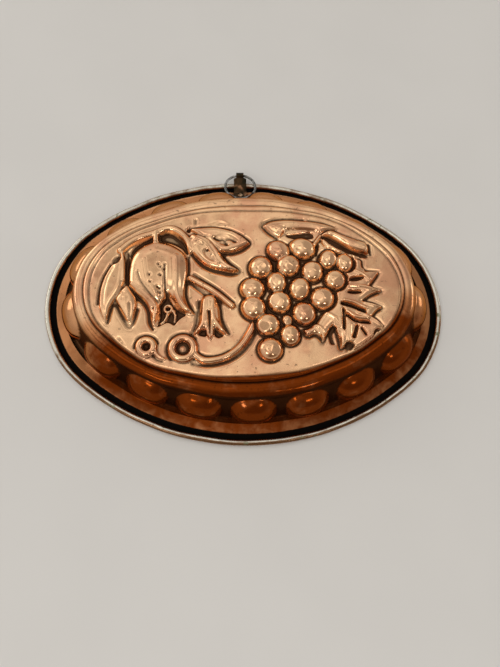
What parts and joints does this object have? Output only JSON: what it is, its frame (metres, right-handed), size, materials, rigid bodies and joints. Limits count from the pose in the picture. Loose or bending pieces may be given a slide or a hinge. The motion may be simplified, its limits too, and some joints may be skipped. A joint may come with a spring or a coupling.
{
  "type": "oval jelly mould",
  "caption": "Shallow oval copper jelly mould with a lobed wall, beaded shoulder, raised fruit and flower relief, rolled rim, and a hanging ring on a riveted strap.",
  "frame": {"origin": "centre of the oval on the rim plane, which is the underside of the flange", "axes": "+Z out through the raised field, +X along the oval's length, +Y across the rim towards the hanging ring"},
  "size_m": [0.22, 0.1617, 0.028],
  "materials": {
    "copper_sheet": "old polished copper, tinned inside and over the rolled rim",
    "tarnished_strap": "dark tarnished copper",
    "copper_rivet": "worn copper",
    "steel_wire": "darkened steel wire"
  },
  "bodies": {
    "mould": {"mould_body": "copper_sheet", "hanger_strap": "tarnished_strap", "hanger_rivet": "copper_rivet"},
    "ring": {"hanging_ring": "steel_wire"}
  },
  "joints": [
    {"name": "ring_swing", "type": "hinge", "parent": "mould", "child": "ring", "pos_m": [-0.00413, 0.08219, 0.00365], "axis": [-0.9996, -0.029, 0], "range_deg": [0, 180]}
  ]
}
